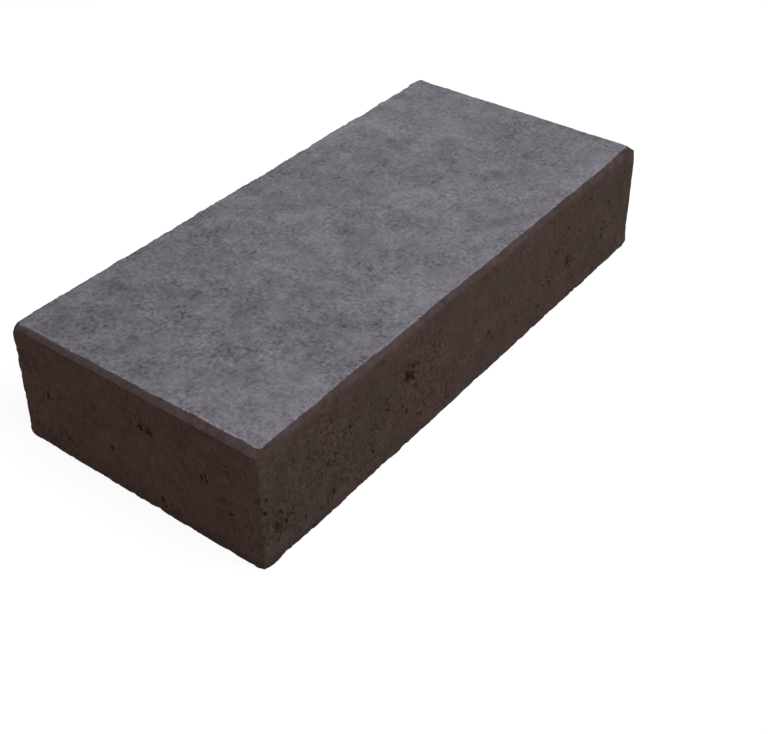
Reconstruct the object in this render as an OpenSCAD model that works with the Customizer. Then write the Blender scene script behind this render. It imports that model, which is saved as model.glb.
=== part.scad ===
// Concrete block step: a solid garden step, cast in one piece and laid on a
// level bed, with the next step resting on the back of its tread.
//
// It is pressed in a mould. The mould's walls give the upright faces and the
// upright edges. The press shoe comes down on top: its flat gives the tread,
// and its sloping rim gives the chamfer, which runs round the four corners.
//
// The frame: the origin is on the underside, at its centre. +X runs along the
// length, +Y from the riser at the front to the back, and +Z is up.
// Every size is in millimetres.

/* [Block] */
// Length of the step, from end to end
step_length = 750; // [300:10:1500]
// Depth of the step, from the riser to the back
step_depth = 350; // [150:10:600]
// Height of the step, from the bed to the tread
step_height = 150; // [60:5:300]

/* [Chamfer from the press shoe] */
// How far the chamfer reaches in over the tread
chamfer_width = 6; // [2:0.5:20]
// How far the chamfer reaches down the upright faces
chamfer_drop = 6; // [2:0.5:20]
// Radius of the tread's corners, on the inner edge of the chamfer
tread_corner_r = 5; // [1:0.5:20]

/* [Upright edges from the mould] */
// Radius of the four upright edges
upright_edge_r = 3; // [1:0.5:20]

/* [Hidden] */
// Smoothness of the preview
$fn = 96;
// Radius that the chamfer's corners have at its foot
foot_corner_r = tread_corner_r + chamfer_width;
// How far the press shoe's rim spreads, from the tread down to the bed
rim_spread = step_height * chamfer_width / chamfer_drop;

// Repeats its children at the four corners of a rectangle, given by half its sides
module at_corners(half_x, half_y) {
    for (side_x = [-1, 1], side_y = [-1, 1])
        translate([side_x * half_x, side_y * half_y, 0])
            children();
}

// The space inside the mould's four walls, up to the level of the tread
module mould_space() {
    corner_x = step_length / 2 - upright_edge_r;
    corner_y = step_depth / 2 - upright_edge_r;
    linear_extrude(step_height) {
        square([2 * corner_x, step_depth], center = true);
        square([step_length, 2 * corner_y], center = true);
        at_corners(corner_x, corner_y)
            circle(upright_edge_r);
    }
}

// Section of the space under the press shoe, across two opposite rims.
// The slope of the rim runs on to the bed, past the mould's walls.
module shoe_section(reach) {
    tread_reach = reach - chamfer_width;
    bed_reach = tread_reach + rim_spread;
    polygon([
        [-bed_reach, 0], [bed_reach, 0],
        [tread_reach, step_height], [-tread_reach, step_height]
    ]);
}

// The space under the press shoe: a run of section along each pair of rims,
// and a cone at each corner that carries the slope round it
module shoe_space() {
    corner_x = step_length / 2 - foot_corner_r;
    corner_y = step_depth / 2 - foot_corner_r;
    rotate([90, 0, 90])
        linear_extrude(2 * corner_x, center = true)
            shoe_section(step_depth / 2);
    rotate([90, 0, 0])
        linear_extrude(2 * corner_y, center = true)
            shoe_section(step_length / 2);
    at_corners(corner_x, corner_y)
        cylinder(h = step_height, r1 = tread_corner_r + rim_spread, r2 = tread_corner_r);
}

// The block is what the mould and the press shoe leave between them
module block_step() {
    color("#5f585b")
        intersection() {
            mould_space();
            shoe_space();
        }
}

block_step();
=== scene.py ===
# %% [markdown]
# # A concrete block step
#
# A block step is a solid garden stair: one block of stiff concrete, pressed in a steel mould
# and lifted out while it is still fresh. This lesson gives the plain solid from the CAD model
# its real surface. The mould's walls leave drag lines and open voids on the upright faces, the
# press shoe leaves a finer, paler tread with a narrow chamfer, and the foot crumbles a little.
#
# The imported model is loaded first, and its box gives the sizes, because a finish may hardly
# change the size.

# %% The imported model and its box
import math

import bpy
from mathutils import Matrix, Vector


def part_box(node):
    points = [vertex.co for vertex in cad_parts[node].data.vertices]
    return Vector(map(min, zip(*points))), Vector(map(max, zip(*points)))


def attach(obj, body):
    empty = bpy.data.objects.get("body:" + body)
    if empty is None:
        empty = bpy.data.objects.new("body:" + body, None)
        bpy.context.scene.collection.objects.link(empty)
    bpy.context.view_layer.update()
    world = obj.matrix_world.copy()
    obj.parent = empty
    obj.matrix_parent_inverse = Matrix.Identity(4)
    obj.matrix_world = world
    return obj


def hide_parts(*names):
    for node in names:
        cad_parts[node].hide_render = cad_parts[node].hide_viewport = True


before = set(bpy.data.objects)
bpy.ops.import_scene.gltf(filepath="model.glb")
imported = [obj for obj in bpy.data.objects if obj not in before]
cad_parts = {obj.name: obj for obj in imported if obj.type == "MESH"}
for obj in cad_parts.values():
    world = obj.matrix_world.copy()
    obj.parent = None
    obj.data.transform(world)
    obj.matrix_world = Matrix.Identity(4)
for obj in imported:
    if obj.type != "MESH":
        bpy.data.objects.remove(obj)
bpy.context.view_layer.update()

# %% [markdown]
# ## Reading the cast form
#
# The finish has to sit on the real edges, so the sizes of the chamfer and of the rounded
# edges are read from the solid's own corners, and not typed in a second time. Every size
# below is in metres. The step runs along X, with its near end towards -X. Its riser is at the
# front, towards -Y, and its underside is at zero.

# %% The sizes of the cast form
MM = 0.001
# Two places that are this near count as one
CLOSE = 0.01 * MM
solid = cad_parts["block_step"]
corners = [vertex.co for vertex in solid.data.vertices]
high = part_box("block_step")[1]
half_length = high.x
half_depth = high.y
height = high.z
tread_points = [co for co in corners if height - co.z < CLOSE]
front_points = [co for co in corners if co.y + half_depth < CLOSE]
chamfer_width = half_length - max(co.x for co in tread_points)
chamfer_foot = min(max(co.z for co in front_points), height)
chamfer_drop = height - chamfer_foot
tread_end = [co.y for co in tread_points if half_length - chamfer_width - co.x < CLOSE]
tread_corner_r = half_depth - chamfer_width - max(tread_end)
upright_edge_r = half_length - max(co.x for co in front_points)
print("tread %.0f x %.0f mm, chamfer %.1f x %.1f mm" % (
    2000 * (half_length - chamfer_width), 2000 * (half_depth - chamfer_width),
    chamfer_width / MM, chamfer_drop / MM))
print("corner radii: tread %.1f mm, upright edges %.1f mm" % (
    tread_corner_r / MM, upright_edge_r / MM))

# %% [markdown]
# ## Formulas as nodes
#
# Both the shape and the finish of this block follow rules: how far a point is from an arris,
# how deep it lies in a void. Node trees built one Math node at a time hide such rules, so a
# small class lets the script write them as formulas. It serves Geometry Nodes and materials
# alike, because both use the same Math and Noise nodes.

# %% A value in a node tree
def feed(socket, value):
    """Gives an input a number, a vector or a name, or links it to a field of its tree."""
    if isinstance(value, Field):
        value.tree.links.new(value.socket, socket)
    else:
        socket.default_value = value


def pick(sockets, name):
    """The socket in use that has this name."""
    return next(s for s in sockets if s.enabled and s.name == name)


class Field:
    """One value in a node tree. A formula made of fields becomes Math nodes."""

    def __init__(self, tree, socket):
        self.tree = tree
        self.socket = socket

    def math(self, operation, *others, reverse=False):
        node = self.tree.nodes.new("ShaderNodeMath")
        node.operation = operation
        terms = (*others, self) if reverse else (self, *others)
        for place, term in enumerate(terms):
            feed(node.inputs[place], term)
        return Field(self.tree, node.outputs[0])

    def __add__(self, other):
        return self.math("ADD", other)

    def __sub__(self, other):
        return self.math("SUBTRACT", other)

    def __rsub__(self, other):
        return self.math("SUBTRACT", other, reverse=True)

    def __mul__(self, other):
        return self.math("MULTIPLY", other)

    def __truediv__(self, other):
        return self.math("DIVIDE", other)

    def __pow__(self, other):
        return self.math("POWER", other)

    def __abs__(self):
        return self.math("ABSOLUTE")

    __radd__ = __add__
    __rmul__ = __mul__

    def least(self, other):
        return self.math("MINIMUM", other)

    def most(self, other):
        return self.math("MAXIMUM", other)

    def above(self, limit):
        return self.math("GREATER_THAN", limit)

    def rise(self, start, end):
        """0 up to start, 1 from end on, and a smooth rise between them."""
        node = self.tree.nodes.new("ShaderNodeMapRange")
        node.interpolation_type = "SMOOTHSTEP"
        feed(node.inputs["Value"], self)
        feed(node.inputs["From Min"], start)
        feed(node.inputs["From Max"], end)
        return Field(self.tree, node.outputs["Result"])


# %% Nodes that give or join fields
class Nodes:
    """Adds nodes to one tree, and gives their outputs as fields."""

    def __init__(self, tree):
        self.tree = tree

    def add(self, kind, inputs=None, output=None, **settings):
        """A node of this kind with its inputs and settings, and the output of this name."""
        node = self.tree.nodes.new(kind)
        for name, setting in settings.items():
            setattr(node, name, setting)
        for name, value in (inputs or {}).items():
            feed(pick(node.inputs, name), value)
        chosen = pick(node.outputs, output) if output else node.outputs[0]
        return Field(self.tree, chosen)

    def split(self, vector):
        """The three numbers of a vector."""
        apart = self.tree.nodes.new("ShaderNodeSeparateXYZ")
        feed(apart.inputs[0], vector)
        return [Field(self.tree, axis) for axis in apart.outputs]

    def vector(self, x, y, z):
        return self.add("ShaderNodeCombineXYZ", {"X": x, "Y": y, "Z": z})

    def scaled(self, vector, factor):
        """The vector with all its numbers times one factor."""
        return self.add("ShaderNodeVectorMath", {"Vector": vector, "Scale": factor}, operation="SCALE")

    def joined(self, operation, first, second, output="Vector"):
        """Two vectors joined by one operation of Vector Math."""
        node = self.tree.nodes.new("ShaderNodeVectorMath")
        node.operation = operation
        feed(node.inputs[0], first)
        feed(node.inputs[1], second)
        return Field(self.tree, node.outputs[output])

    def noise(self, at, size, seed, detail=2.0, roughness=0.5):
        """Soft noise from about -1 to 1, with features of this size, or of three sizes."""
        sizes = size if isinstance(size, tuple) else (size, size, size)
        counted = self.joined("MULTIPLY", at, [1 / size for size in sizes])
        fac = self.add("ShaderNodeTexNoise", {
            "Vector": counted, "W": float(seed), "Scale": 1.0, "Detail": detail,
            "Roughness": roughness}, noise_dimensions="4D")
        return (fac - 0.5) * 2.0


# %% [markdown]
# ## The block as two outlines
#
# Seen from above, the block is two rectangles with rounded corners: one is where the mould's
# walls stood, and the other is the flat of the press shoe. How far a point lies past each of
# them is nearly all that the form and the finish have to know, so one formula gives that
# distance, for the nodes that move points and for the nodes that colour them.

# %% How far a point lies past a rounded outline
def length_of(x, y):
    """The length of a line that runs this far along two axes."""
    return (x * x + y * y).math("SQRT")


def outline_distance(x, y, half_x, half_y, radius):
    """Distance past a rectangle with rounded corners, negative inside it."""
    over_x = abs(x) - (half_x - radius)
    over_y = abs(y) - (half_y - radius)
    past_x = over_x.most(0.0)
    past_y = over_y.most(0.0)
    return length_of(past_x, past_y) + over_x.most(over_y).least(0.0) - radius


# %% [markdown]
# ## A press shoe that stood a little off
#
# A press shoe never comes down quite true. Here it stood nearly two millimetres off centre,
# a little askew, and wider at the back, so the chamfer is wide along the near end and the
# riser, and narrow along the far end and the back. Its rim dragged the fresh concrete, which
# left the tread's outline ragged. The rim's foot sprang back up, so the chamfer is shallower
# than it is wide. Later, one back corner was knocked. All this could be sculpted, but then the
# colours wouldn't follow. Written as rules, it moves the arris and the colours together.

# %% Where the press shoe really stood
# How far off centre the shoe stood, towards the far end and towards the back
SHOE_OFF_X = 1.9 * MM
SHOE_OFF_Y = 1.6 * MM
# How far it was turned, in radians, and how much its half length grows towards the back
SHOE_TURN = 0.005
SHOE_TAPER = 0.0085
# How far the foot of the chamfer sprang back up
RIM_SPRING = 1.2 * MM
# How far the tread's outline strays: its raggedness, more at the back, and its slow bend
EDGE_WANDER = 2.8 * MM
MORE_AT_BACK = 0.9
EDGE_BOW = 1.8 * MM
# What wear added to the radius of the tread's back left corner, and took from its back right one
BLUNT_CORNER = 3.0 * MM
CRISP_CORNER = 4.2 * MM
# What wear added to the radius of the back left upright edge
EDGE_ROUNDED = 4.0 * MM
# How far the top is knocked down at that corner, and how far in
CORNER_KNOCK = 5.5 * MM
KNOCK_REACH = 13 * MM
rim_drop = chamfer_drop - RIM_SPRING
print("chamfer as it came out: %.1f to %.1f mm wide, %.1f mm deep" % (
    (chamfer_width - SHOE_OFF_X) / MM, (chamfer_width + SHOE_OFF_X) / MM, rim_drop / MM))


def in_back_corner(x, y, side):
    """1 in the back left quarter of the block (side -1) or in the back right one (side 1)."""
    return (x * side).above(0.0) * y.above(0.0)


def past_shoe(nodes, x, y, half_x, half_y, radius):
    """Distance past the tread's outline, as the shoe left it: off, askew and ragged."""
    shoe_x = x - SHOE_OFF_X + y * SHOE_TURN
    shoe_y = y - SHOE_OFF_Y - x * SHOE_TURN
    flat = nodes.vector(x, y, 0.0)
    at_back = y.rise(half_y * 0.6, half_y * 0.95)
    ragged = nodes.noise(flat, 26 * MM, seed=30, detail=3, roughness=0.6) * EDGE_WANDER
    ragged = ragged * (1 + at_back * MORE_AT_BACK)
    bowed = nodes.noise(flat, 130 * MM, seed=33, detail=1) * EDGE_BOW
    worn = in_back_corner(x, y, -1) * BLUNT_CORNER - in_back_corner(x, y, 1) * CRISP_CORNER
    outline = outline_distance(shoe_x, shoe_y, half_x + y * SHOE_TAPER, half_y, worn + radius)
    return ragged + bowed + outline


def past_wall(x, y, half_x, half_y, radius):
    """Distance past the mould's walls. One upright edge is rounder than the rest."""
    worn = in_back_corner(x, y, -1) * EDGE_ROUNDED
    return outline_distance(x, y, half_x, half_y, worn + radius)


def knocked(x, y):
    """How far the top has been knocked down at the back left corner."""
    gap = length_of(x + half_length, half_depth - y)
    return (1 - gap.rise(0.0, KNOCK_REACH)) * CORNER_KNOCK


def chamfer_fall(past, inward):
    """0 at the tread's outline, and 1 where the chamfer meets the wall."""
    across = past.most(0.0)
    return across / (across + inward.most(0.0)).most(CLOSE)


# %% [markdown]
# ## The camera
#
# The block is looked at from above its near corner, so that the tread, the riser and one end
# all show. The camera stands upright. It looks a little past the block's middle, and a small
# lens shift sets the block back in the frame.

# %% The camera
CAMERA_TURN = math.radians(53.22)
CAMERA_PITCH = math.radians(33.05)
CAMERA_DISTANCE = 1.589
CAMERA_AIM = Vector((0.065, 0.008, height / 2))
CAMERA_LENS = 59.3
CAMERA_SHIFT = -0.15

camera_data = bpy.data.cameras.new("camera")
camera_data.sensor_width = 36
camera_data.lens = CAMERA_LENS
camera_data.shift_y = CAMERA_SHIFT
camera = bpy.data.objects.new("camera", camera_data)
bpy.context.scene.collection.objects.link(camera)
bpy.context.scene.camera = camera
look = Vector((
    math.sin(CAMERA_TURN) * math.cos(CAMERA_PITCH),
    math.cos(CAMERA_TURN) * math.cos(CAMERA_PITCH),
    -math.sin(CAMERA_PITCH)))
camera.location = CAMERA_AIM - CAMERA_DISTANCE * look
camera.rotation_euler = look.to_track_quat("-Z", "Y").to_euler()
print("camera at", [round(c, 3) for c in camera.location])

# %% [markdown]
# ## Concrete
#
# The whole block is one mix, but its faces come off different tools, and it shows. The tread
# carries the fine paste that the press shoe draws up, and dries to a cool mid grey with clouds,
# sand grain and a few pinholes. The upright faces keep the darker, browner body of the mix:
# they were dragged past the mould's walls, which leaves upright streaks, olive and reddish
# patches, and voids that look nearly black. Part of the gap between tread and walls is painted
# light: the tread's paler, bluer grey also stands for a top lit by a pale sky, and the walls'
# darker brown for faces in shade. The chamfer lies between the two. One material does all of
# it, because the borders are rules of place: how far in from a wall a point lies, and how far
# below the tread. A point's depth inside the ideal form tells what is a void, and where painted
# shade goes.
#
# The colours are written as they look in plain light, and changed to the linear numbers that
# shaders use.

# %% Colours, as they look in plain light
def tone(red, green, blue):
    """A colour in display values from 0 to 255, as the linear colour that shaders use."""
    shares = [value / 255 for value in (red, green, blue)]
    return [
        share / 12.92 if share <= 0.04045 else ((share + 0.055) / 1.055) ** 2.4
        for share in shares] + [1.0]


# Partly painted light: paler and bluer than the walls, also standing for a top lit by a pale sky
TREAD_GREY = tone(114, 111, 118)
ARRIS_PALE = tone(144, 134, 139)
CHAMFER_MAUVE = tone(71, 62, 65)
CHAMFER_BROWN = tone(73, 61, 61)
# Partly painted shade: the two wall browns are darker than the tread, also standing for faces in shade
SIDE_BROWN = tone(74, 56, 52)
SIDE_OLIVE = tone(69, 57, 51)
# Painted shade for the inside of voids, chips and the worn foot
HOLLOW_SHADE = tone(47, 28, 23)
# Painted shade for small pits in the walls
PIT_SHADE = tone(47, 33, 28)
# Painted shade at the riser's foot by the near corner, where the worn foot turns under
FOOT_SHADE = tone(54, 42, 41)
# Painted shade: the ends are tinted redder, as a face turned away from the lamp looks
END_SHADE_TINT = (1.0, 0.92, 0.90)
print("tread colour:", [round(share, 3) for share in TREAD_GREY[:3]])

# %% [markdown]
# ## Where a point lies
#
# Each part of the finish has its own place, and fades into the next one within a millimetre or
# so. A mask says how much a place belongs to one of them, from 0 to 1. Painted masks would
# need an unwrapped mesh and would be lost with it, so these are worked out from the point's
# own position. The borders get a fine raggedness, because fresh concrete breaks by its grains.

# %% Masks for the parts of the surface
def places(nodes, at):
    """Masks for the parts of the surface, the drop below the tread, and the depth inside."""
    x, y, z = nodes.split(at)
    below = height - z - knocked(x, y)
    gap_x = half_length - abs(x)
    gap_y = half_depth - abs(y)
    on_end = gap_x.math("LESS_THAN", gap_y)
    inward = 0 - past_wall(x, y, half_length, half_depth, upright_edge_r)
    past = past_shoe(
        nodes, x, y, half_length - chamfer_width, half_depth - chamfer_width, tread_corner_r)
    ragged = nodes.noise(at, 6 * MM, seed=1, detail=2, roughness=0.7) * MM
    on_top = 1 - below.above(4 * MM)
    tread = (1 - (past + ragged).rise(-0.5 * MM, 0.5 * MM)) * on_top
    soft = 1 - on_end
    over_foot = 1 - (below + ragged * 0.6).rise(
        rim_drop - 0.8 * MM - soft * 1.5 * MM, rim_drop + 0.6 * MM + soft * 4.5 * MM)
    under_chamfer = (below - chamfer_fall(past, inward) * rim_drop) * 0.75
    over_worn_foot = (inward + z - 4 * MM) * math.sqrt(0.5)
    return {
        "tread": tread,
        # The tread's pale outline band, crumbs plus painted highlight, and the mauve one just past it
        "arris": (past + ragged).rise(-4.5 * MM, -1.0 * MM) * tread,
        "lip": 1 - (past + ragged).rise(1.4 * MM, 3.2 * MM),
        "chamfer": over_foot * (1 - tread),
        # The thin line where the shoe's rim met the mould's wall
        "seam": 1 - abs(below - rim_drop - 1.0 * MM + ragged * 0.4).rise(0.2 * MM, 1.1 * MM),
        "on_end": on_end,
        # Distance from the upright edge between the riser and the near end
        "near_corner": length_of(x + half_length, y + half_depth),
        "below": below,
        # Depth inside the ideal form, which sets where hollows get painted shade
        "depth": inward.least(below).least(under_chamfer).least(over_worn_foot),
    }


# %% [markdown]
# ## Where voids gather
#
# Voids don't lie evenly on a wall. They gather where the mix stayed dry, so a few clusters
# give this block its face. Noise alone would put them anywhere, so the clusters of the riser
# and of the near end are listed by place, and noise rules the rest. The shape and the colour
# both ask this list, so that pits and cut voids lie together.

# %% Clusters on the riser and on the near end
RISER_CLUSTERS = [
    # along the step, up the riser, reach, how crowded
    (-0.133, 0.096, 0.015, 60), (-0.270, 0.066, 0.013, 16), (-0.345, 0.040, 0.026, 22),
    (-0.275, 0.022, 0.014, 14), (0.028, 0.048, 0.012, 12), (0.165, 0.055, 0.018, 12),
    (0.208, 0.057, 0.014, 28), (0.125, 0.048, 0.012, 8), (0.302, 0.062, 0.013, 18),
    (-0.062, 0.012, 0.012, 10),
]
END_CLUSTERS = [
    # across the step, up the end, reach, how crowded
    (-0.022, 0.105, 0.013, 26), (-0.106, 0.085, 0.014, 10), (-0.137, 0.050, 0.014, 12),
    (-0.045, 0.014, 0.014, 10), (0.030, 0.052, 0.010, 8), (0.125, 0.075, 0.014, 8),
]


def near_clusters(nodes, x, y, z):
    """How crowded the nearest cluster of voids is here, and 0 away from all clusters."""
    nearest = []
    for clusters, along_face in ((RISER_CLUSTERS, x), (END_CLUSTERS, y)):
        on_face = nodes.vector(along_face, z, 0.0)
        near = 0.0
        for along, up, reach, crowded in clusters:
            gap = nodes.joined("DISTANCE", on_face, (along, up, 0.0), "Value")
            near = (gap.rise(reach, 0.3 * reach) * crowded).most(near)
        nearest.append(near)
    on_riser = y.math("LESS_THAN", 4 * MM - half_depth)
    on_end = x.math("LESS_THAN", 4 * MM - half_length)
    return (nearest[0] * on_riser).most(nearest[1] * on_end)


print("clusters: %d on the riser, %d on the near end" % (len(RISER_CLUSTERS), len(END_CLUSTERS)))

# %% [markdown]
# ## The tread's finish
#
# The shoe draws up the fine paste, which dries in slow clouds over half the step, in a mottle
# of a couple of centimetres, and in sand grain, with pale flecks where the paste is thick and
# dark ones where a grain came away, darkened with painted shade. Use has left a few marks: a
# long scuff, some stains, some rubbed spots. Noise of each size makes the first, one layer for
# each, because one layer of noise has no such range. The marks are a short list of places with
# ragged borders.

# %% Mixing two colours
def mixed(nodes, factor, first, second):
    """One colour turned into another by this factor."""
    node = nodes.tree.nodes.new("ShaderNodeMix")
    node.data_type = "RGBA"
    feed(node.inputs["Factor"], factor)
    feed(pick(node.inputs, "A"), first)
    feed(pick(node.inputs, "B"), second)
    return Field(nodes.tree, pick(node.outputs, "Result"))


# %% Marks of use on the tread
DARK_MARKS = [
    # along the step, across it, reach along, reach across
    (0.140, -0.015, 0.030, 0.003), (-0.168, -0.109, 0.003, 0.010), (-0.065, -0.070, 0.005, 0.004),
    (0.124, 0.060, 0.004, 0.004), (0.137, 0.061, 0.004, 0.004), (0.192, 0.078, 0.030, 0.022),
]
PALE_MARKS = [
    (-0.143, 0.145, 0.008, 0.008), (-0.118, 0.098, 0.008, 0.007), (-0.178, 0.055, 0.007, 0.007),
    (0.077, -0.047, 0.012, 0.009), (-0.148, -0.082, 0.022, 0.016), (0.039, 0.033, 0.006, 0.008),
    (0.032, -0.007, 0.009, 0.006),
]


def marks(nodes, at, spots, seed):
    """1 within each of these ragged spots of the tread, and 0 between them."""
    x, y = nodes.split(at)[:2]
    ragged = nodes.noise(at, 7 * MM, seed=seed, detail=2, roughness=0.7) * 1.2
    worst = ragged * 0
    for along, across, reach_x, reach_y in spots:
        gap_x = (x - along) / reach_x
        gap_y = (y - across) / reach_y
        gap = length_of(gap_x, gap_y) + ragged
        worst = worst.most(1 - gap.rise(0.3, 1.2))
    return worst


# %% The tread's colour and relief
def tread_finish(nodes, at):
    """Colour and relief of the paste under the press shoe."""
    clouds = nodes.noise(at, 480 * MM, seed=1576, detail=4, roughness=0.85)
    patches = nodes.noise(at, 60 * MM, seed=9, detail=4, roughness=0.8).rise(-0.2, 0.2) - 0.5
    mottle = nodes.noise(at, 20 * MM, seed=3, detail=3, roughness=0.8)
    busy = 0.6 + nodes.noise(at, 50 * MM, seed=23, detail=2).rise(-0.3, 0.3) * 0.7
    grain = nodes.noise(at, 5 * MM, seed=4, detail=3, roughness=0.75) * busy
    specks = nodes.noise(at, 3.2 * MM, seed=38, detail=1).rise(0.36, 0.6)
    fleck = nodes.noise(at, 7 * MM, seed=26, detail=2, roughness=0.7)
    pale_flecks = fleck.rise(0.28, 0.55)
    # Painted shade: dark flecks for pinholes where a grain came away
    dark_flecks = (0 - fleck).rise(0.34, 0.6) * busy
    dark = marks(nodes, at, DARK_MARKS, 21)
    pale = marks(nodes, at, PALE_MARKS, 22)
    light = 1.035 + clouds * 0.65 + patches * 0.17 + mottle * 0.75 + grain * 1.03
    light = light + pale_flecks * 0.29 - dark_flecks * 0.34 - dark * 0.30 + pale * 0.17
    light = light + specks * 0.45
    relief = (mottle * 0.4 + grain * 0.5 + pale_flecks * 0.3 - dark_flecks * 0.4 - dark * 0.3) * MM
    return nodes.scaled(nodes.vector(*TREAD_GREY[:3]), light), relief


# %% [markdown]
# ## The walls' finish
#
# The block was lifted past the mould's walls, which drew its skin upright: drag lines, grain
# that is longer than wide, and pits where grains were pulled out, darkened with painted shade.
# Where the mix was wet the wall closed with paste, elsewhere it stayed open and rough. The
# brown turns olive in slow patches, more of them low on the riser. The ends are lifted a little
# and tinted redder, painted light and shade for the end that faces away from the lamp, and the
# riser's foot by the near corner gets painted shade where the worn foot turns under. A rule
# for how open the wall is serves twice, here and where the voids are cut.

# %% Where the wall stayed open
def openness(nodes, at, below):
    """About 0 where the wall is closed with paste, and 1 where it stayed open."""
    field = nodes.noise(at, 160 * MM, seed=272, detail=3, roughness=0.7) * 2.2
    return (field + (below * 7).least(0.3) - 0.15).rise(-0.35, 0.75)


# %% The walls' colour and relief
def wall_finish(nodes, at, spot):
    """Colour and relief of a face that was dragged past the mould's wall."""
    below, on_end = spot["below"], spot["on_end"]
    open_wall = openness(nodes, at, below)
    drag = nodes.noise(at, (9 * MM, 9 * MM, 50 * MM), seed=5, detail=2, roughness=0.6)
    blotch = nodes.noise(at, 26 * MM, seed=6, detail=3, roughness=0.8)
    x, y, z = nodes.split(at)
    drawn = nodes.vector(x, y, z * (1 - on_end * 0.35))
    grain = nodes.noise(drawn, (5 * MM, 5 * MM, 6 * MM), seed=7, detail=2, roughness=0.75)
    spots = nodes.noise(at, (11 * MM, 11 * MM, 16 * MM), seed=24, detail=2, roughness=0.7)
    crowded = near_clusters(nodes, x, y, z).least(20.0) * 0.05
    pits = (spots + crowded * 0.22).rise(0.14, 0.5) * (0.25 + open_wall * 0.75).most(crowded)
    rough = nodes.noise(at, 60 * MM, seed=35, detail=2).rise(-0.3, 0.35)
    strength = (0.30 + rough * 0.8 + open_wall * 0.6) * (1 - on_end * 0.1)
    seam = spot["seam"] * on_end
    # The ends are lifted a little here: painted light
    light = 0.895 + on_end * 0.035 + drag * 0.08 + blotch * 0.60
    light = light - grain * strength * 0.92 - seam * 0.2
    olive = nodes.noise(at, 300 * MM, seed=2054, detail=5, roughness=0.9) * 3.0
    by_corner = 1 - spot["near_corner"].rise(40 * MM, 110 * MM)
    olive = (olive + below * 3.5 - on_end * 0.9 + by_corner * (1 - on_end) * 0.5).rise(-0.7, 1.0)
    relief = (drag * 0.12 + blotch * 0.5 - grain * strength * 0.5 - pits * 0.9 - seam * 0.4) * MM
    colour = nodes.scaled(mixed(nodes, olive, SIDE_BROWN, SIDE_OLIVE), light)
    # Painted shade: small pits are darkened towards a dark red brown
    colour = mixed(nodes, pits * 0.7, colour, PIT_SHADE)
    # Painted shade: the foot of the riser by the near corner is darkened
    by_foot_shade = (1 - z.rise(5 * MM, 15 * MM)) * (1 - spot["near_corner"].rise(60 * MM, 150 * MM))
    colour = mixed(nodes, by_foot_shade * 0.75, colour, FOOT_SHADE)
    # Painted shade: the ends get a redder tint
    shade_tinted = nodes.joined("MULTIPLY", colour, END_SHADE_TINT)
    return mixed(nodes, on_end, colour, shade_tinted), relief


# %% [markdown]
# ## The chamfer, and one material for all
#
# The chamfer was smeared by the shoe's rim: mauve just under the arris, brown below, and worn
# to the wall's colour in places and at the near corner. The arris itself is dusted with pale
# crumbs, and the same pale band paints the highlight that the edge catches. The faces are then
# joined by their masks, and the inside of the voids and of other hollows is darkened last with
# painted shade, because little light reaches it. The fine relief is a bump, and not geometry,
# since it is below a millimetre. Dry concrete is nearly matt, so it hardly has a sheen.

# %% The chamfer and the arris
def chamfer_finish(nodes, at, spot, side):
    """The colour of the chamfer, which fades into the wall's own colour."""
    blotch = nodes.noise(at, 14 * MM, seed=17, detail=3, roughness=0.8)
    rubbed = (1 - spot["near_corner"].rise(8 * MM, 50 * MM)) * (1 - spot["on_end"])
    fading = nodes.noise(at, 70 * MM, seed=25, detail=2).rise(-0.1, 0.5).most(rubbed * 1.2) * 0.7
    rim = mixed(nodes, fading, mixed(nodes, spot["lip"], CHAMFER_BROWN, CHAMFER_MAUVE), side)
    return nodes.scaled(rim, 1 + blotch * 0.8)


def arris_dust_and_highlight(nodes, at, spot, pale):
    """The tread's colour with pale crumbs and a painted highlight along its outline, more by the near
    corner.
    """
    by_corner = 1 - spot["near_corner"].rise(10 * MM, 220 * MM)
    crumbs = nodes.noise(at, 4.5 * MM, seed=36, detail=2, roughness=0.7)
    # Pale crumbs, and a painted highlight along the arris
    dust_and_highlight = (crumbs + by_corner * (0.08 + spot["on_end"] * 0.18)).rise(0.09, 0.36) * 0.9
    return mixed(nodes, spot["arris"] * dust_and_highlight, pale, ARRIS_PALE)


# %% One material for the whole block
CONCRETE_ROUGHNESS = 0.92
CONCRETE_SHEEN = 0.1


def concrete_material():
    material = bpy.data.materials.new("pressed_concrete")
    material.use_nodes = True
    tree = material.node_tree
    nodes = Nodes(tree)
    shader = tree.nodes["Principled BSDF"]
    at = nodes.add("ShaderNodeTexCoord", output="Object")
    spot = places(nodes, at)
    tread = spot["tread"]
    pale, tread_relief = tread_finish(nodes, at)
    side, wall_relief = wall_finish(nodes, at, spot)
    rim = chamfer_finish(nodes, at, spot, side)
    pale = arris_dust_and_highlight(nodes, at, spot, pale)
    colour = mixed(nodes, tread, mixed(nodes, spot["chamfer"], side, rim), pale)
    # Painted shade: the deeper a point lies inside the ideal form, the darker it is
    colour = mixed(nodes, spot["depth"].rise(0.7 * MM, 3.4 * MM) * 0.85, colour, HOLLOW_SHADE)
    feed(shader.inputs["Base Color"], colour)
    relief = wall_relief * (1 - tread) + tread_relief * tread
    bump = nodes.add("ShaderNodeBump", {"Height": relief, "Strength": 1.0, "Distance": 1.0})
    feed(shader.inputs["Normal"], bump)
    shader.inputs["Roughness"].default_value = CONCRETE_ROUGHNESS
    shader.inputs["Specular IOR Level"].default_value = CONCRETE_SHEEN
    return material


concrete = concrete_material()
print("concrete: %d nodes" % len(concrete.node_tree.nodes))

# %% [markdown]
# ## Geometry Nodes from a script
#
# Two trees shape this block: one wraps a grid on the cast form, and the other cuts the voids.
# Each has a named input for every size, so it can be tried with other sizes in the modifier
# panel. Here each modifier is run once and removed, which leaves a plain mesh.

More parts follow.
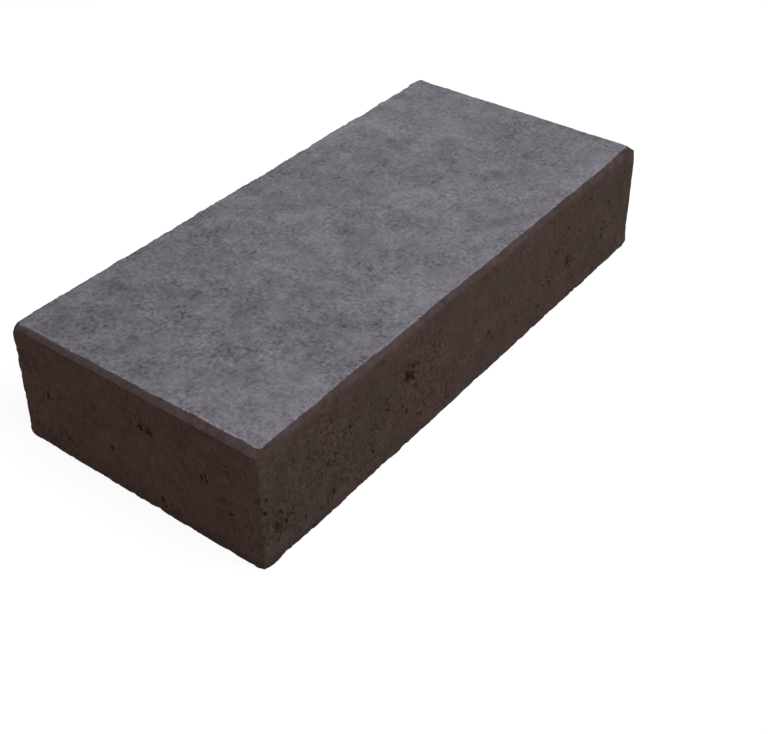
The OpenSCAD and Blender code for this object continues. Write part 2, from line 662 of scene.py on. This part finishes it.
# %% A Geometry Nodes tree, and a mesh made with it
def geometry_tree(name, sizes):
    """A tree with a mesh going in and out, and a named input for each of the sizes."""
    tree = bpy.data.node_groups.new(name, "GeometryNodeTree")
    interface = tree.interface
    interface.new_socket("Mesh", in_out="OUTPUT", socket_type="NodeSocketGeometry")
    interface.new_socket("Mesh", in_out="INPUT", socket_type="NodeSocketGeometry")
    for size in sizes:
        interface.new_socket(size, in_out="INPUT", socket_type="NodeSocketFloat")
    entry = tree.nodes.new("NodeGroupInput")
    given = {socket.name: Field(tree, socket) for socket in entry.outputs if socket.name}
    return tree, Nodes(tree), given


def finish_tree(tree, mesh, material):
    """Ends a tree: instances become plain mesh, and the mesh gets its material."""
    real = tree.nodes.new("GeometryNodeRealizeInstances")
    coated = tree.nodes.new("GeometryNodeSetMaterial")
    end = tree.nodes.new("NodeGroupOutput")
    feed(real.inputs[0], mesh)
    tree.links.new(real.outputs[0], coated.inputs["Geometry"])
    coated.inputs["Material"].default_value = material
    tree.links.new(coated.outputs[0], end.inputs[0])


def settle(piece):
    """Turns what the piece's modifier makes into the piece's own plain mesh."""
    piece.update_tag()
    ready = piece.evaluated_get(bpy.context.evaluated_depsgraph_get())
    mesh = bpy.data.meshes.new_from_object(ready)
    piece.modifiers.clear()
    piece.data = mesh


def run_tree(piece, tree, sizes):
    """Runs the tree on the piece, with these sizes as its inputs."""
    modifier = piece.modifiers.new(tree.name, "NODES")
    modifier.node_group = tree
    for item in tree.interface.items_tree:
        if item.in_out == "INPUT" and item.name in sizes:
            modifier[item.identifier] = sizes[item.name]
    settle(piece)
    print("%s: %d faces" % (tree.name, len(piece.data.polygons)))


# %% [markdown]
# ## The cast form
#
# A grid of small cells is wrapped on the form. Geometry Nodes start from a plain box of cells
# and move each point by rule: the upright edges are rounded, and the press shoe's slope pushes
# down what lies past the tread's outline. A box is used, and not the solid's own few large
# faces, because relief needs points everywhere.

# %% Sizes of the cast form
FORM_SIZES = {
    "Length": 2 * half_length, "Depth": 2 * half_depth, "Height": height,
    "Chamfer width": chamfer_width, "Chamfer drop": chamfer_drop,
    "Tread corner radius": tread_corner_r, "Upright edge radius": upright_edge_r,
    "Cell": 1.5 * MM, "Wall swell": 1.1 * MM, "Drag relief": 0.25 * MM, "Grit relief": 0.3 * MM,
    "Tread swell": 0.5 * MM, "Foot wear": 1.8 * MM, "Chamfer wear": 0.5 * MM, "Arris wear": 0.35 * MM,
    "Upright wear": 2.6 * MM, "Foot bulge": 1.8 * MM, "Arris chips": 3.2 * MM, "Back rim swell": 3.2 * MM,
}


# %% The rounded and pressed form
def rounded_plan(x, y, given):
    """Where a point of the box goes when the upright edges are rounded."""
    radius = in_back_corner(x, y, -1) * EDGE_ROUNDED + given["Upright edge radius"]
    edge_x = given["Length"] / 2 - radius
    edge_y = given["Depth"] / 2 - radius
    core_x = x.least(edge_x).most(edge_x * -1)
    core_y = y.least(edge_y).most(edge_y * -1)
    out_x = x - core_x
    out_y = y - core_y
    pull = abs(out_x).most(abs(out_y)) / length_of(out_x, out_y).most(CLOSE)
    return core_x + out_x * pull, core_y + out_y * pull


def past_tread(nodes, x, y, given):
    """Distance past the tread's outline, from the sizes that the tree is given."""
    return past_shoe(
        nodes, x, y, given["Length"] / 2 - given["Chamfer width"],
        given["Depth"] / 2 - given["Chamfer width"], given["Tread corner radius"])


def pressed_form(nodes, given):
    """A box of cells with rounded upright edges, and a rim that the shoe pushed down."""
    length, depth, tall = given["Length"], given["Depth"], given["Height"]
    cell = given["Cell"]
    block = nodes.add("GeometryNodeMeshCube", {
        "Size": nodes.vector(length, depth, tall), "Vertices X": length / cell + 1,
        "Vertices Y": depth / cell + 1, "Vertices Z": tall / cell + 1})
    x, y, z = nodes.split(nodes.add("GeometryNodeInputPosition"))
    round_x, round_y = rounded_plan(x, y, given)
    past = past_tread(nodes, round_x, round_y, given)
    inward = 0 - past_wall(round_x, round_y, length / 2, depth / 2, given["Upright edge radius"])
    drop = given["Chamfer drop"] - RIM_SPRING
    top = tall - knocked(round_x, round_y) - chamfer_fall(past, inward) * drop
    return nodes.add("GeometryNodeSetPosition", {
        "Geometry": block, "Position": nodes.vector(round_x, round_y, (z / tall + 0.5) * top)})


# %% [markdown]
# ## Uneven faces
#
# No face of a pressed block is flat. Slow noise makes the walls swell and the tread dish by up
# to a millimetre, and noise that is stretched upright gives the drag lines of the mould. All
# of it moves the points along their own normals, which a bump map couldn't do to the outline.

# %% Where a point of the form lies, and how its face is uneven
def form_places(nodes, given):
    """The places on the pressed form that the rules of wear ask for."""
    at = nodes.add("GeometryNodeInputPosition")
    x, y, z = nodes.split(at)
    normal = nodes.add("GeometryNodeInputNormal")
    up = nodes.split(normal)[2]
    gap_x = given["Length"] / 2 - abs(x)
    gap_y = given["Depth"] / 2 - abs(y)
    past = past_tread(nodes, x, y, given)
    return {
        "at": at, "x": x, "y": y, "z": z, "normal": normal,
        "tread": up.rise(0.85, 0.98),
        "wall": 1 - abs(up).rise(0.3, 0.7),
        "on_side": gap_y.math("LESS_THAN", gap_x),
        # Distance from the nearest wall, and from the other wall of the nearest corner
        "side_gap": gap_x.least(gap_y),
        "corner_gap": gap_x.most(gap_y),
        "near_corner": length_of(x + given["Length"] / 2, y + given["Depth"] / 2),
        "at_back": y.rise(given["Depth"] * 0.3, given["Depth"] * 0.48),
        "from_arris": abs(past).most((given["Height"] - z) - 3 * MM),
    }


def unevenness(nodes, spot, given):
    """Slow swells, upright drag lines and grit, and a tread that isn't quite flat."""
    at, tread, wall = spot["at"], spot["tread"], spot["wall"]
    swell = nodes.noise(at, 75 * MM, seed=12) * given["Wall swell"] * wall
    drag = nodes.noise(at, (11 * MM, 11 * MM, 60 * MM), seed=13, detail=1)
    drag = drag * given["Drag relief"] * wall
    grit = nodes.noise(at, 10 * MM, seed=14, detail=1) * given["Grit relief"]
    dish = nodes.noise(at, 90 * MM, seed=15) * given["Tread swell"] * tread
    return swell + drag + grit * (1 - tread * 0.6) + dish


# %% [markdown]
# ## Worn and chipped edges
#
# Fresh concrete is weak at its edges. The foot crumbles where it was set down, most of all by
# the near corner. The lower edge of the chamfer and the arris are a little blunt, and the
# arris is chipped, mostly at the back, where the rim also heaved up in a lip. The upright
# edges are nibbled. A bevel would make each edge the same all along, so each of these is a
# depth from noise, times how near the point is to its edge.

# %% Wear of the foot and of the chamfer
def foot_wear(nodes, spot, given):
    """How deep the foot has crumbled."""
    from_foot = length_of(spot["side_gap"], spot["z"])
    crumble = nodes.noise(spot["at"], 24 * MM, seed=7, detail=3, roughness=0.75) * 2.0 + 0.1
    at_corner = (1 - spot["corner_gap"].rise(0.0, 14 * MM)) * 0.6
    by_near = 1 - spot["near_corner"].rise(15 * MM, 100 * MM)
    worn_in = 1 - from_foot.rise(0.0, by_near * 7 * MM + 6 * MM)
    return (crumble.most(0.0) + at_corner + by_near * 0.4) * given["Foot wear"] * worn_in


def chamfer_wear(spot, given):
    """How blunt the lower edge of the chamfer is, more so on the long sides and at corners."""
    up_to_edge = spot["z"] - (given["Height"] - (given["Chamfer drop"] - RIM_SPRING))
    from_edge = length_of(spot["side_gap"], up_to_edge)
    near_corner = 1 - spot["corner_gap"].rise(0.0, 12 * MM)
    soft_corner = near_corner * (1 - in_back_corner(spot["x"], spot["y"], 1))
    blunt = 1 + spot["on_side"] + soft_corner * 2.0
    return given["Chamfer wear"] * blunt * (1 - (from_edge / blunt).rise(0.0, 3.5 * MM))


# %% Wear of the arris and of the upright edges
def arris_wear(spot, given):
    """How blunt the arris is."""
    return given["Arris wear"] * (1 - spot["from_arris"].rise(0.0, 2.5 * MM))


def arris_chips(nodes, spot, given):
    """Chips out of the arris, few in front and many at the back."""
    chips = nodes.noise(spot["at"], 12 * MM, seed=34, detail=4, roughness=0.7).rise(0.05, 0.45)
    chips = chips * (0.15 + spot["at_back"] * 0.85) * (1 - spot["from_arris"].rise(0.0, 4.5 * MM))
    return chips * given["Arris chips"]


def back_rim_swell(nodes, spot, given):
    """How the rim heaves up and sinks along the back."""
    ripple = nodes.noise(spot["at"], 26 * MM, seed=37, detail=3, roughness=0.65)
    ripple = ripple * (1 - spot["from_arris"].rise(0.0, 14 * MM))
    return ripple * spot["at_back"] * given["Back rim swell"]


def upright_wear(nodes, spot, given):
    """Nibbled upright edges, the back ones more than those in front."""
    nibble = nodes.noise(spot["at"], 16 * MM, seed=19, detail=3, roughness=0.65).rise(-0.1, 0.45)
    nibble = nibble * (0.2 + spot["y"].rise(given["Depth"] * -0.5, given["Depth"] * 0.5) * 0.8)
    clear_of_foot = spot["z"].rise(4 * MM, 18 * MM)
    near_edge = 1 - spot["corner_gap"].rise(0.0, 13 * MM)
    return nibble * near_edge * clear_of_foot * (1 - spot["tread"]) * given["Upright wear"]


# %% [markdown]
# ## The tree of the cast form
#
# The rules come together in three moves: the pressed form, then its faces with their wear,
# and last the foot, which slumped outward a little when the block stood on its own. The slump
# comes last, since it has to carry the worn foot along.

# %% The tree is built
def cast_form_tree():
    tree, nodes, given = geometry_tree("cast_form", FORM_SIZES)
    formed = pressed_form(nodes, given)
    spot = form_places(nodes, given)
    wear = foot_wear(nodes, spot, given) + chamfer_wear(spot, given) + arris_wear(spot, given)
    wear = wear + arris_chips(nodes, spot, given) - back_rim_swell(nodes, spot, given)
    wear = wear + upright_wear(nodes, spot, given)
    relief = unevenness(nodes, spot, given) - wear
    uneven = nodes.add("GeometryNodeSetPosition", {
        "Geometry": formed, "Offset": nodes.scaled(spot["normal"], relief)})
    slump = nodes.noise(spot["at"], 34 * MM, seed=29, detail=2, roughness=0.6) + 0.6
    bulge = slump * given["Foot bulge"] * (1 - spot["z"].rise(2 * MM, 20 * MM))
    out_x, out_y = nodes.split(spot["normal"])[:2]
    slumped = nodes.add("GeometryNodeSetPosition", {
        "Geometry": uneven, "Offset": nodes.vector(out_x * bulge, out_y * bulge, 0.0)})
    finish_tree(tree, slumped, concrete)
    return tree


# %% The cast form is made
block_mesh = bpy.data.meshes.new("block_step_finish")
block = bpy.data.objects.new("block_step_finish", block_mesh)
bpy.context.scene.collection.objects.link(block)
run_tree(block, cast_form_tree(), FORM_SIZES)

# %% [markdown]
# ## Fewer faces where it is flat
#
# The grid is far finer than a flat face needs. Decimation keeps small faces at the arrises and
# along the drag lines, and makes large ones elsewhere, which leaves room for the voids.

# %% The form is thinned
FORM_FACES = 110000


def thin(piece, faces):
    """Merges the faces that matter least, until about this many triangles are left."""
    modifier = piece.modifiers.new("thin", "DECIMATE")
    modifier.ratio = faces / sum(len(face.vertices) - 2 for face in piece.data.polygons)
    settle(piece)
    print("thinned to %d faces" % len(piece.data.polygons))


thin(block, FORM_FACES)

# %% [markdown]
# ## Voids and crumbs
#
# Stiff concrete doesn't flow into every gap between its grains, so the upright faces are open
# in places: ragged voids of a few millimetres, in loose clusters, more of them towards the
# foot. They are cut, because a painted spot has no rim and no shadow. Geometry Nodes scatter
# points on the faces, put an uneven lump on each, and take all the lumps away from the block
# in one Boolean.

# %% Sizes of the voids and crumbs
VOID_SIZES = {
    "Voids per square metre": 1500.0, "Smallest void": 1.1 * MM, "Largest void": 3.0 * MM,
    "Pores per square metre": 1500.0, "Smallest pore": 0.7 * MM, "Largest pore": 1.5 * MM,
    "Crumbs": 40.0, "Smallest crumb": 1.0 * MM, "Largest crumb": 3.5 * MM,
}
LUMPS = 5


# %% Uneven lumps, and points that carry them
def lumps(nodes, detail, uneven):
    """A choice of uneven lumps of radius 1, as instances."""
    choice = nodes.tree.nodes.new("GeometryNodeJoinGeometry")
    for seed in range(LUMPS):
        ball = nodes.add("GeometryNodeMeshIcoSphere", {"Radius": 1.0, "Subdivisions": detail})
        at = nodes.add("GeometryNodeInputPosition")
        swollen = 1 + nodes.noise(at, 1.1, seed=20 + seed, detail=1) * uneven
        lump = nodes.add("GeometryNodeSetPosition", {
            "Geometry": ball, "Position": nodes.scaled(at, swollen)})
        one = nodes.add("GeometryNodeGeometryToInstance", {"Geometry": lump})
        feed(choice.inputs[0], one)
    return Field(nodes.tree, choice.outputs[0])


def random(nodes, least, most, seed, kind="FLOAT"):
    """A random number, whole number or vector for each point."""
    return nodes.add(
        "FunctionNodeRandomValue", {"Min": least, "Max": most, "Seed": seed},
        output="Value", data_type=kind)


def lumps_on(nodes, points, choice, size, turn, shape, seed):
    """A lump on each point, of its own size and turn."""
    index = random(nodes, 0, LUMPS - 1, seed, kind="INT")
    across = random(nodes, 0.7, 1.1, seed + 1)
    upright = random(nodes, 0.9, 1.7, seed + 2)
    scale = nodes.vector(size * across, size * upright, size * shape)
    return nodes.add("GeometryNodeInstanceOnPoints", {
        "Points": points, "Instance": choice, "Pick Instance": True, "Instance Index": index,
        "Rotation": turn, "Scale": scale})


# %% Where the voids go
def crowding(nodes, x, y, z, up_facing):
    """How many more voids than usual each place on the walls has."""
    at = nodes.vector(x, y, z)
    crowd = openness(nodes, at, height - z) ** 2.0 + 0.05 + near_clusters(nodes, x, y, z)
    return crowd * (1 - abs(up_facing).above(0.4))


def scattered(nodes, mesh, density, seed, smallest, largest, spread, choice):
    """Lumps strewn over the mesh and half sunk in it, small ones more often than large."""
    scatter = nodes.tree.nodes.new("GeometryNodeDistributePointsOnFaces")
    feed(scatter.inputs["Mesh"], mesh)
    feed(scatter.inputs["Density"], density)
    feed(scatter.inputs["Seed"], seed)
    points, normal, turn = [Field(nodes.tree, socket) for socket in scatter.outputs]
    x, y, z = nodes.split(nodes.add("GeometryNodeInputPosition"))
    grown = 1 + near_clusters(nodes, x, y, z).rise(12.0, 50.0) * 0.5
    size = grown * (smallest + (largest - smallest) * random(nodes, 0.0, 1.0, seed + 1) ** spread)
    sunk = nodes.add("GeometryNodeSetPosition", {
        "Geometry": points, "Offset": nodes.scaled(normal, size * -0.15)})
    spin = nodes.add("FunctionNodeEulerToRotation", {
        "Euler": nodes.vector(0.0, 0.0, random(nodes, -0.7, 0.7, seed + 2))})
    spun = nodes.add("FunctionNodeRotateRotation", {
        "Rotation": turn, "Rotate By": spin}, rotation_space="LOCAL")
    return lumps_on(nodes, sunk, choice, size, spun, 0.8, seed + 3)


# %% [markdown]
# ## Crumbs out of the foot
#
# Where the block was set down, grains broke out of the edge under it. Points are spread along
# the outline of the foot, strewn a little, and each gets a tumbled lump. One Boolean then
# takes the lumps of voids, pores and crumbs away. It uses the Manifold solver, which is fast
# enough for thousands of lumps. A sliver that the cuts set free is deleted.

# %% The tree of voids and crumbs
def foot_crumbs(nodes, given):
    """Lumps strewn along the outline of the foot."""
    outline = nodes.add("GeometryNodeCurvePrimitiveQuadrilateral", {
        "Width": 2 * half_length, "Height": 2 * half_depth})
    foot = nodes.add("GeometryNodeCurveToPoints", {"Curve": outline, "Count": given["Crumbs"]})
    chance = random(nodes, 0.0, 1.0, 40) ** 3.0
    size = given["Smallest crumb"] + (given["Largest crumb"] - given["Smallest crumb"]) * chance
    jitter = random(
        nodes, (-12 * MM, -4 * MM, 0.0), (12 * MM, 4 * MM, 0.0), 41, kind="FLOAT_VECTOR")
    strewn = nodes.add("GeometryNodeSetPosition", {"Geometry": foot, "Offset": jitter})
    tumble = nodes.add("FunctionNodeEulerToRotation", {
        "Euler": random(nodes, (0.0, 0.0, 0.0), (math.tau, math.tau, math.tau), 42,
                        kind="FLOAT_VECTOR")})
    return lumps_on(nodes, strewn, lumps(nodes, 2, 0.7), size, tumble, 0.8, 43)


def without(nodes, mesh, lumps_taken):
    """The mesh with these lumps cut away, and without the slivers that come loose."""
    cut = nodes.tree.nodes.new("GeometryNodeMeshBoolean")
    cut.operation = "DIFFERENCE"
    cut.solver = "MANIFOLD"
    feed(cut.inputs["Mesh 1"], mesh)
    for taken in lumps_taken:
        feed(cut.inputs["Mesh 2"], taken)
    island = nodes.add("GeometryNodeInputMeshIsland", output="Island Index")
    return nodes.add("GeometryNodeDeleteGeometry", {
        "Geometry": Field(nodes.tree, cut.outputs["Mesh"]), "Selection": island.above(0.5)})


def voids_tree():
    tree, nodes, given = geometry_tree("voids_and_crumbs", VOID_SIZES)
    x, y, z = nodes.split(nodes.add("GeometryNodeInputPosition"))
    up_facing = nodes.split(nodes.add("GeometryNodeInputNormal"))[2]
    crowd = crowding(nodes, x, y, z, up_facing)
    on_tread = up_facing.above(0.9) * 0.15
    voids = scattered(
        nodes, given["Mesh"], given["Voids per square metre"] * crowd, 31,
        given["Smallest void"], given["Largest void"], 2.0, lumps(nodes, 2, 1.0))
    pores = scattered(
        nodes, given["Mesh"], given["Pores per square metre"] * (crowd.least(14.0) + on_tread), 51,
        given["Smallest pore"], given["Largest pore"], 1.5, lumps(nodes, 1, 0.6))
    crumbs = foot_crumbs(nodes, given)
    finish_tree(tree, without(nodes, given["Mesh"], (voids, pores, crumbs)), concrete)
    return tree


# %% The voids are cut
# Rims that turn by more than this stay crisp
SHARP_FROM = math.radians(40)
run_tree(block, voids_tree(), VOID_SIZES)
block.data.shade_smooth()
block.data.set_sharp_from_angle(angle=SHARP_FROM)
triangles = sum(len(face.vertices) - 2 for face in block.data.polygons)
print("finished block: %d triangles" % triangles)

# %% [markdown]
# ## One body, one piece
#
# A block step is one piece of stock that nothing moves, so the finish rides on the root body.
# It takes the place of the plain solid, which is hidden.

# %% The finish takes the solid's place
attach(block, "root")
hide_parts("block_step")

# %% [markdown]
# ## Floor and light
#
# The floor and the backdrop are white to the eye, as in a product picture, but reflect less
# light than they show, so that the block isn't lit from below. A plain white floor would do
# that, and would clip to white around the block. So the floor glows where it is seen, with a
# thin coat that still takes the block's shadow, and is a pale matt floor to all other rays.

# %% The floor
FLOOR_REACH = 8.0
FLOOR_GLOW = 0.91
FLOOR_COAT = (0.13, 0.13, 0.13, 1)
FLOOR_BOUNCE = (0.65, 0.65, 0.65, 1)
WHITE = (1, 1, 1, 1)


def seen_directly(nodes):
    """1 for a ray from the camera, or one that a gloss or a glass sends on."""
    paths = nodes.tree.nodes.new("ShaderNodeLightPath")
    seen = Field(nodes.tree, paths.outputs["Is Camera Ray"])
    for kind in ("Is Glossy Ray", "Is Transmission Ray"):
        seen = seen.most(Field(nodes.tree, paths.outputs[kind]))
    return seen


def floor_material():
    material = bpy.data.materials.new("pale_floor")
    material.use_nodes = True
    tree = material.node_tree
    tree.nodes.remove(tree.nodes["Principled BSDF"])
    nodes = Nodes(tree)
    glow = nodes.add("ShaderNodeEmission", {"Color": WHITE, "Strength": FLOOR_GLOW})
    shadowed = nodes.add("ShaderNodeBsdfDiffuse", {"Color": FLOOR_COAT})
    shown = tree.nodes.new("ShaderNodeAddShader")
    feed(shown.inputs[0], glow)
    feed(shown.inputs[1], shadowed)
    lit = nodes.add("ShaderNodeBsdfDiffuse", {"Color": FLOOR_BOUNCE})
    both = tree.nodes.new("ShaderNodeMixShader")
    feed(both.inputs[0], seen_directly(nodes))
    feed(both.inputs[1], lit)
    tree.links.new(shown.outputs[0], both.inputs[2])
    tree.links.new(both.outputs[0], tree.nodes["Material Output"].inputs["Surface"])
    return material


floor_mesh = bpy.data.meshes.new("floor")
floor_mesh.from_pydata(
    [(sx * FLOOR_REACH, sy * FLOOR_REACH, 0) for sx, sy in ((-1, -1), (1, -1), (1, 1), (-1, 1))],
    [], [(0, 1, 2, 3)])
floor_mesh.materials.append(floor_material())
floor = bpy.data.objects.new("floor", floor_mesh)
bpy.context.scene.collection.objects.link(floor)
print("floor: %.0f m each way" % FLOOR_REACH)

# %% [markdown]
# ## Sky and lamp
#
# One large lamp high above the riser, a little to the right, lights the tread best, the riser
# less, and the near end least. An even sky fills the rest. A lamp as wide as this one gives
# the soft edge that shadows have under a bright, hazy sky. Where the sky itself is seen, it is
# plain white.

# %% The sky and the lamp
SKY_STRENGTH = 0.45
BACKDROP_STRENGTH = 1.0
world = bpy.data.worlds.new("studio")
world.use_nodes = True
bpy.context.scene.world = world
sky = world.node_tree
sky_nodes = Nodes(sky)
dim = sky_nodes.add("ShaderNodeBackground", {"Color": WHITE, "Strength": SKY_STRENGTH})
white = sky_nodes.add("ShaderNodeBackground", {"Color": WHITE, "Strength": BACKDROP_STRENGTH})
backdrop = sky.nodes.new("ShaderNodeMixShader")
feed(backdrop.inputs[0], seen_directly(sky_nodes))
feed(backdrop.inputs[1], dim)
feed(backdrop.inputs[2], white)
sky.links.new(backdrop.outputs[0], sky.nodes["World Output"].inputs["Surface"])

LAMP_PLACE = Vector((0.1, -1.7, 2.9))
LAMP_SIZE = 1.6
LAMP_POWER = 62
lamp_data = bpy.data.lights.new("key_lamp", "AREA")
lamp_data.shape = "DISK"
lamp_data.size = LAMP_SIZE
lamp_data.energy = LAMP_POWER
lamp = bpy.data.objects.new("key_lamp", lamp_data)
lamp.location = LAMP_PLACE
lamp.rotation_euler = (-LAMP_PLACE).to_track_quat("-Z", "Y").to_euler()
bpy.context.scene.collection.objects.link(lamp)
bpy.context.scene.view_settings.view_transform = "Standard"
print("lamp: %d W, %.1f m wide, %.1f m up" % (LAMP_POWER, LAMP_SIZE, LAMP_PLACE.z))
